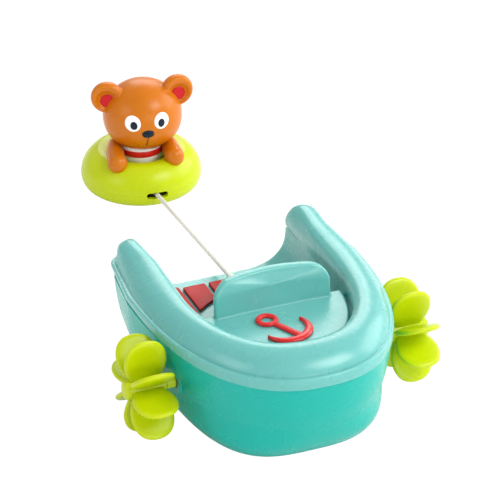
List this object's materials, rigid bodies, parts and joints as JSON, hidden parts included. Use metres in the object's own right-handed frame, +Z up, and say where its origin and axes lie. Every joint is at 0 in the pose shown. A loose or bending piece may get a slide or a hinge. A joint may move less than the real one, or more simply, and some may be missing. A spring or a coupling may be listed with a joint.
{
  "type": "toy boat",
  "caption": "Bath toy paddle boat: a cord-wound spring motor turns two petal wheels while it reels in a bear sitting in a swim ring.",
  "frame": {"origin": "centre of the flat underside of the hull, on the ground, directly below the paddle axle", "axes": "-Y towards the bow, +Y towards the stern and the towed ring, +X port, +Z up; the paddle axle runs along X"},
  "size_m": [0.1558, 0.3371, 0.0722],
  "materials": {
    "teal": "glossy",
    "turquoise": "glossy",
    "lime": "glossy",
    "red": "glossy",
    "ear_red": "glossy",
    "brown": "glossy",
    "white_plastic": "glossy",
    "dark": "glossy",
    "nylon": "satin",
    "steel": "satin",
    "seal_rubber": "satin",
    "cord": "satin"
  },
  "bodies": {
    "hull": {"hull_shell": "teal", "deck_shell": "turquoise", "floor_slats": "red", "deck_anchor": "red", "axle_bushes": "teal", "axle_seals": "seal_rubber", "motor_plate_port": "nylon", "motor_plate_starboard": "nylon", "motor_spacers": "steel", "motor_screws": "steel", "spring_cup": "nylon", "mainspring": "steel", "cord_inner_run": "cord", "cord_fairlead": "nylon", "hull_screws": "steel"},
    "paddle_axle": {"paddle_wheel_port": "lime", "paddle_wheel_starboard": "lime", "axle_shaft": "steel", "axle_pinion": "nylon", "wheel_clips": "steel"},
    "drum": {"drum_shaft": "steel", "cord_drum": "nylon", "drum_gear": "nylon", "cord_coil": "cord"},
    "cord_lead": {"tow_cord": "cord"},
    "tow": {"cord_knot": "cord", "ring_upper": "lime", "ring_lower": "lime", "ring_screws": "steel", "bear_body": "white_plastic", "bear_shirt_stripe": "red", "bear_arms": "brown", "bear_head": "brown", "bear_ear_pads": "ear_red", "bear_eyes": "white_plastic", "bear_pupils": "dark", "bear_nose": "dark"}
  },
  "joints": [
    {"name": "cord_swing", "type": "hinge", "parent": "hull", "child": "cord_lead", "pos_m": [0, 0.0591, 0.0421], "axis": [0, 0, 1], "range_deg": [-3, 17.5]},
    {"name": "tow_reel", "type": "slide", "parent": "cord_lead", "child": "tow", "axis": [-0.1189, -0.97, 0.2122], "range_m": [0, 0.13], "deforming": ["tow_cord"]},
    {"name": "drum_spin", "type": "hinge", "parent": "hull", "child": "drum", "pos_m": [0, 0.0165, 0.0406], "axis": [1, 0, 0], "range_deg": [-840, 5]},
    {"name": "axle_spin", "type": "hinge", "parent": "hull", "child": "paddle_axle", "pos_m": [0, 0, 0.029], "axis": [1, 0, 0], "range_deg": [-5, 1260]}
  ],
  "couplings": [
    {"joint": "drum_spin", "follows": "tow_reel", "rad_per_m": -111.11},
    {"joint": "axle_spin", "follows": "tow_reel", "rad_per_m": 166.67}
  ]
}
